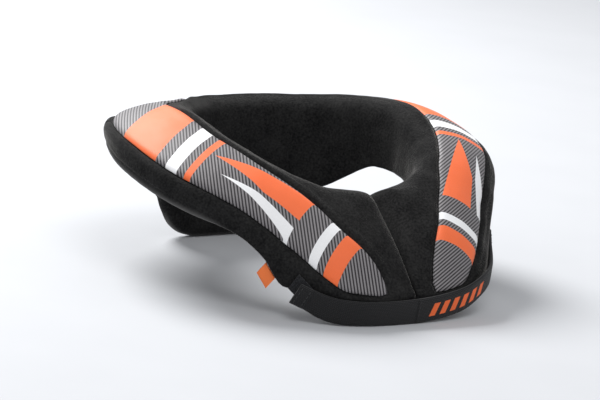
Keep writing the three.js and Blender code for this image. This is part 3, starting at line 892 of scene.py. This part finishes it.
# %% [markdown]
# ## The front strap
# A flat webbing runs from the left lip across the front and closes on the right. Its lower and
# upper edges are given by angle, radius and height, as the collar is. The free end is folded back
# and stitched, so it is thicker there, and the left part laps over the right one at a cross seam.
# Webbing hardly stretches, so a simulation would add little: it is modelled directly, ring by ring.

# %% Strap's edges
STRAP = np.array([
    # lower edge's angle, radius and height, then the upper edge's
    [-34.4, 145, 25, -32.2, 146.6, 38.4], [-30.6, 145.6, 21.8, -28.4, 147.8, 35.2],
    [-26.5, 147.2, 17.4, -24.8, 148.8, 32.8], [-22, 149, 15.3, -20.8, 149.8, 31.6],
    [-15.5, 149.2, 15, -14.8, 149.6, 31], [-8, 147.8, 15, -7.6, 148, 31],
    [0, 146.8, 15, 0, 146.9, 31.4], [8, 147.8, 16.9, 7.6, 148, 33.2],
    [15.5, 149.2, 20, 14.6, 149.6, 36], [20.5, 149.6, 24.2, 19.4, 150, 39],
    [26, 148.4, 28.4, 24.6, 149, 42.2], [31, 145.2, 30.2, 29.4, 146.2, 44],
    [36.5, 140.4, 31.4, 34.6, 142, 45.2], [42, 136.8, 32.8, 39.8, 138.2, 47],
    [46.5, 134.4, 35, 43.8, 135.8, 49.2], [50.2, 133.4, 39, 47.4, 134.4, 53],
], float)


def edge_curve(polar, steps):
    turn = np.radians(polar[:, 0])
    p = np.stack([polar[:, 1] * np.sin(turn), NECK_Y - polar[:, 1] * np.cos(turn), polar[:, 2]], -1)
    p = np.concatenate([[2 * p[0] - p[1]], p, [2 * p[-1] - p[-2]]])
    where = np.linspace(0, len(p) - 3, steps)
    i = np.minimum(where.astype(int), len(p) - 4)
    t = (where - i)[:, None]
    p0, p1, p2, p3 = p[i], p[i + 1], p[i + 2], p[i + 3]
    d0, d1, d2 = (np.sqrt(np.linalg.norm(b - a, axis=1))[:, None]
                  for a, b in ((p0, p1), (p1, p2), (p2, p3)))
    m1 = ((p1 - p0) / d0 - (p2 - p0) / (d0 + d1) + (p2 - p1) / d1) * d1
    m2 = ((p2 - p1) / d1 - (p3 - p1) / (d1 + d2) + (p3 - p2) / d2) * d1
    return hermite(t, p1, p2, m1, m2)


print("rows along the strap:", len(STRAP))

# %% Band between two edges
class Band:
    """A flat band between two edge curves; run is the length along it and v goes up across it."""

    def __init__(self, rows, steps):
        self.low, self.top = edge_curve(rows[:, :3], steps), edge_curve(rows[:, 3:], steps)
        middle = (self.low + self.top) / 2
        self.run = run_along(middle)
        self.width = np.linalg.norm(self.top - self.low, axis=1).mean()
        self.out = unit(np.cross(np.gradient(middle, axis=0), self.top - self.low))
        if (self.out[steps // 2] * (middle[steps // 2] - np.array([0, NECK_Y, 0]))).sum() < 0:
            self.out = -self.out

    def at(self, run, values):
        return np.stack([np.interp(run, self.run, values[:, k]) for k in range(3)], -1)

    def outward(self, run):
        return unit(self.at(run, self.out))

    def point(self, run, v, lift):
        v, lift = np.asarray(v)[..., None], np.asarray(lift)[..., None]
        return self.at(run, self.low) * (1 - v) + self.at(run, self.top) * v + self.outward(run) * lift


strap_band = Band(STRAP, 700)
print("strap length in mm:", round(strap_band.run[-1], 1), "width:", round(strap_band.width, 1))

# %% Strap
STRAP_THICK, HEM_LENGTH, HEM_RISE, SEAM_RUN, LAP_RISE = 1.8, 9.0, 0.9, 87.7, 0.5
MAP_SCALE = MM * 4


def band_profile(v, thick):
    return thick / 2 * (1 - np.abs(2 * v - 1) ** 9 * 0.55)


def make_band(name, band, thick, steps, profile_count, outer_lift):
    run = np.linspace(0, band.run[-1], steps)
    v = np.concatenate([np.linspace(0, 1, profile_count), np.linspace(1, 0, profile_count)])
    front = np.arange(len(v)) < profile_count
    rings = []
    for r in run:
        lift = np.where(front, outer_lift(r, v), -band_profile(v, thick))
        rings.append(band.point(np.full(len(v), r), v, lift))
    uv = np.stack(np.broadcast_arrays(run[:, None], v[None] * band.width), -1) * MAP_SCALE
    return tube(name, np.stack(rings), {"weave": uv})


def strap_outer(r, v):
    hem = HEM_RISE * (1 - ease(r, HEM_LENGTH - 0.5, HEM_LENGTH + 0.3))
    lap = LAP_RISE * ease(r, SEAM_RUN - 1.6, SEAM_RUN - 1.0)
    return band_profile(v, STRAP_THICK) + (hem + lap) * (1 - np.abs(2 * v - 1) ** 12 * 0.6)


strap = make_band("front_strap_webbing", strap_band, STRAP_THICK, 420, 15, strap_outer)
count(strap)

# %% [markdown]
# ## Webbing
# Flat webbing is a close weave with small ribs across it, and this strap carries a row of slanted
# orange bars on its left half. Ribs and bars are counted along the strap's own map, so they follow
# every bend. The bars are shapes like the racing stripes above.

# %% Webbing finish
RIB_STEP, END_STEP = 1.3, 0.95
WEB_DARK, WEB_LIGHT = (0.006, 0.006, 0.0065, 1), (0.044, 0.044, 0.046, 1)
BAR_FROM, BAR_STEP, BAR_WIDE, BAR_LEAN, BAR_COUNT = 96.0, 8.6, 4.8, 3.6, 6
BAR_LOW, BAR_HIGH = 3.6, 11.4
web_finish, tree, shader = start_finish("black_webbing", 0.75, 0.25, 0.15, 0.4, (0.8, 0.8, 0.8, 1))
x, y = map_place(tree, "weave")


def yarns(counted):
    return calc(tree, "ABSOLUTE", calc(tree, "SINE", calc(tree, "MULTIPLY", counted, math.pi)))


ribs = calc(tree, "MULTIPLY", x, 1 / (RIB_STEP * MAP_SCALE))
ends = calc(tree, "MULTIPLY", y, 1 / (END_STEP * MAP_SCALE))
shifted = calc(tree, "ADD", ribs, calc(tree, "MULTIPLY", calc(tree, "FLOOR", ends), 0.5))
height = calc(tree, "MULTIPLY", yarns(shifted), yarns(ends))
fuzz = noise(tree, object_place(tree), 0.5)
colour = blend(tree, calc(tree, "MULTIPLY", height, fuzz), WEB_DARK, WEB_LIGHT)
for i in range(BAR_COUNT):
    a, b = BAR_FROM + BAR_STEP * i, BAR_FROM + BAR_STEP * i + BAR_WIDE
    corners = [(a, BAR_LOW), (b, BAR_LOW), (b + BAR_LEAN, BAR_HIGH), (a + BAR_LEAN, BAR_HIGH)]
    mask = inside_shape(tree, x, y, [(u * MAP_SCALE, w * MAP_SCALE) for u, w in corners])
    colour = blend(tree, mask, colour, ORANGE)
paint(tree, shader, colour)
bump(tree, shader, calc(tree, "MULTIPLY_ADD", fuzz, 0.2, height), 0.32, 0.9)
strap.data.materials.append(web_finish)
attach(strap, "root")
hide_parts("front_strap")
print("bars on the strap:", BAR_COUNT)

# %% [markdown]
# ## Stitches
# Sewing thread shows as short rounded bars, each sunk into the cloth at its ends. Real little
# threads catch the light better than a painted line, and they are cheap: each is a six-sided tube
# with tapered ends, and one piece holds all of them.

# %% Thread
STITCH, STITCH_GAP, THREAD, THREAD_SIDES, THREAD_FLAT, THREAD_LIFT = 2.1, 0.7, 0.28, 6, 0.8, 0.05
STITCH_FORM = [
    # share of the stitch's length, then size and rise as shares of the thread
    (0, 0.35, -0.3), (0.12, 0.85, 0.1), (0.35, 1, 0.3), (0.65, 1, 0.3), (0.88, 0.85, 0.1), (1, 0.35, -0.3),
]


def stitch_ends(start, end):
    length = np.linalg.norm(end - start)
    n = max(1, int(round((length + STITCH_GAP) / (STITCH + STITCH_GAP))))
    pitch = (length + STITCH_GAP) / n
    way = (end - start) / length
    return [(start + way * pitch * i, start + way * (pitch * (i + 1) - STITCH_GAP)) for i in range(n)]


def stitch_rings(a, b, out):
    across = unit(np.cross(b - a, out))
    turn = np.linspace(0, 2 * math.pi, THREAD_SIDES, endpoint=False)[:, None]
    ring = np.cos(turn) * across + np.sin(turn) * out * THREAD_FLAT
    return np.stack([a + (b - a) * t + out * rise * THREAD + ring * THREAD * size
                     for t, size, rise in STITCH_FORM])


def sew(name, rows):
    """Rows of stitches, each from one point to another with the way out of the cloth."""
    points, faces = [], []
    for start, end, out in rows:
        for a, b in stitch_ends(start, end):
            rings = stitch_rings(a, b, out)
            n, m = rings.shape[:2]
            index = np.arange(n * m).reshape(n, m) + len(points) * n * m
            faces += round_quads(index)
            faces += [index[0][::-1].tolist(), index[-1].tolist()]
            points.append(rings.reshape(-1, 3))
    return build(name, settle(np.concatenate(points)), faces)


def strap_row(run_a, v_a, run_b, v_b):
    ends = [strap_band.point(run, v, strap_outer(run, v) + THREAD_LIFT)
            for run, v in ((run_a, v_a), (run_b, v_b))]
    return *ends, strap_band.outward((run_a + run_b) / 2)


print("one stitch is", STITCH, "mm of thread", THREAD * 2, "mm thick")

# %% Stitches on the strap
STRAP_END = strap_band.run[-1]
BOX_NEAR, BOX_FAR = STRAP_END - 13, STRAP_END - 3
across_rows = [(HEM_LENGTH - 1.6, 0.1), (2.0, 0.1), (SEAM_RUN, 0.08), (BOX_FAR, 0.1), (BOX_NEAR, 0.1)]
rows_of_thread = [strap_row(run, v, run, 1 - v) for run, v in across_rows]
box_runs = np.linspace(BOX_NEAR, BOX_FAR, 3)
for v in (0.1, 0.9):
    rows_of_thread += [strap_row(a, v, b, v) for a, b in zip(box_runs[:-1], box_runs[1:])]
strap_thread = sew("strap_stitches", rows_of_thread)
thread_finish, tree, shader = start_finish("black_thread", 0.6, 0.3, 0.1, 0.4, (1, 1, 1, 1))
strand = noise(tree, object_place(tree), 0.3)
paint(tree, shader, blend(tree, strand, (0.012, 0.012, 0.012, 1), (0.05, 0.05, 0.052, 1)))
strap_thread.data.materials.append(thread_finish)
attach(strap_thread, "root")
count(strap_thread)

# %% [markdown]
# ## The loop-pile tab
# The strap's free end presses onto a patch of grey loop pile on the right lip. The patch is a thin
# band with a rough top: the loops are raised in the mesh, and finer ones come from the finish.
# Hair curves could give each loop, but at this size they would only cost time.

# %% Pile tab
TAB = np.array([[-30, 143.5, 23.5, -28.2, 145.3, 33], [-32.4, 142.8, 27.7, -30.4, 143.9, 38],
                [-35.1, 141.2, 32.7, -33, 142.3, 43]], float)
TAB_THICK, LOOP_HIGH, LOOP_SIZE, FINE_LOOP = 1.2, 0.12, 1.9, 0.8
PILE_LIGHT, PILE_DARK = (0.036, 0.037, 0.040, 1), (0.008, 0.008, 0.009, 1)
tab_band = Band(TAB, 120)


def loops_up(r, v):
    place = np.stack([np.full_like(v, r), v * tab_band.width, np.zeros_like(v)], -1)
    return band_profile(v, TAB_THICK) + LOOP_HIGH * lumps(place, LOOP_SIZE, 31)


tab = make_band("closure_tab_pile", tab_band, TAB_THICK, 60, 34, loops_up)
pile_finish, tree, shader = start_finish("grey_loop_pile", 0.9, 0.15, 0.15, 0.4, (1, 1, 1, 1))
loop_field = tree.nodes.new("ShaderNodeTexVoronoi")
loop_field.inputs["Scale"].default_value = 1 / (FINE_LOOP * MM)
tree.links.new(object_place(tree), loop_field.inputs["Vector"])
from_middle = loop_field.outputs["Distance"]
paint(tree, shader, blend(tree, from_middle, PILE_LIGHT, PILE_DARK))
bump(tree, shader, calc(tree, "SUBTRACT", 1.0, from_middle), 0.4, 1.0)
tab.data.materials.append(pile_finish)
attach(tab, "root")
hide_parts("closure_tab")
count(tab)

# %% [markdown]
# ## The pull tab
# A short orange ribbon is folded double and sewn under the right lip. Two plies with a round fold
# at the free edge make a thin loop, so the piece is a strip that goes down, turns and comes back.
# A solidified plane would do for one ply, but the fold shows, so its path is drawn.

# %% Where the ribbon hangs
RIBBON_ANGLE, RIBBON_REACH, RIBBON_LIFT, RIBBON_SAG = -40.2, 2.2, 0.36, 0.6


def lip_point(ang):
    a, s = np.array([ang]), np.array([[float(LIP)]])
    return (skin(a, s) + skin_normal(a, s) * RIBBON_LIFT)[0, 0]


hang = lip_point(RIBBON_ANGLE)
ribbon_way = unit(lip_point(RIBBON_ANGLE - RIBBON_REACH) - lip_point(RIBBON_ANGLE + RIBBON_REACH))
ribbon_turn = math.radians(RIBBON_ANGLE)
ribbon_out = np.array([math.sin(ribbon_turn), -math.cos(ribbon_turn), 0])
ribbon_out = unit(ribbon_out - ribbon_way * (ribbon_out @ ribbon_way))
ribbon_down = np.cross(ribbon_out, ribbon_way)
ribbon_down *= -np.sign(ribbon_down[2])
ribbon_down = unit(ribbon_down - np.array([0, 0, RIBBON_SAG]))
print("ribbon hangs from", hang.round(1), "toward", ribbon_down.round(2))

# %% Folded ribbon
RIBBON_WIDTH, RIBBON_DROP, RIBBON_THICK, RIBBON_PLY = 11.4, 9.0, 2.2, 0.6
RIBBON_MAP, MAP_START = MM * 10, 0.1
FOLD = np.array([
    # share of the drop, share of the thickness: from the seam down to the fold
    [0, 0.4], [0.25, 0.43], [0.5, 0.48], [0.75, 0.5], [0.87, 0.46], [0.95, 0.32], [1, 0],
])
path = np.concatenate([FOLD, FOLD[-2::-1] * np.array([1, -1])]) * np.array([RIBBON_DROP, RIBBON_THICK])
fine, coarse = np.linspace(0, 1, 60), np.linspace(0, 1, len(path))
path = np.stack([np.interp(fine, coarse, path[:, k]) for k in range(2)], -1)
way = unit(np.gradient(path, axis=0))
inner_path = path + np.stack([-way[:, 1], way[:, 0]], -1) * -RIBBON_PLY
ring = np.concatenate([path, inner_path[::-1]])
widths = np.linspace(-0.5, 0.5, 40) * RIBBON_WIDTH
rings = (hang + widths[:, None, None] * ribbon_way + ring[None, :, :1] * ribbon_down
         + ring[None, :, 1:] * ribbon_out)
uv = np.stack(np.broadcast_arrays(widths[:, None] * RIBBON_MAP + MAP_START,
                                  run_along(ring)[None] * RIBBON_MAP), -1)
pull = tube("pull_tab_ribbon", rings, {"weave": uv})
count(pull)

# %% Ribbon finish
RIBBON_RIB, RIB_SHADE = 0.7, 0.1
RIBBON_LIGHT, RIBBON_DARK = (1.0, 0.235, 0.06, 1), (0.6, 0.08, 0.016, 1)
ribbon_finish, tree, shader = start_finish("orange_ribbon", 0.55, 0.3, 0.15, 0.4, (1, 0.8, 0.7, 1))
_, y = map_place(tree, "weave")
rib = calc(tree, "SINE", calc(tree, "MULTIPLY", y, 2 * math.pi / (RIBBON_RIB * RIBBON_MAP)))
rib_shade = calc(tree, "MULTIPLY_ADD", rib, RIB_SHADE, RIB_SHADE)
paint(tree, shader, blend(tree, rib_shade, RIBBON_LIGHT, RIBBON_DARK))
bump(tree, shader, rib, 0.08, 0.7)
pull.data.materials.append(ribbon_finish)
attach(pull, "root")
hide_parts("pull_tab")
print("finish:", ribbon_finish.name)
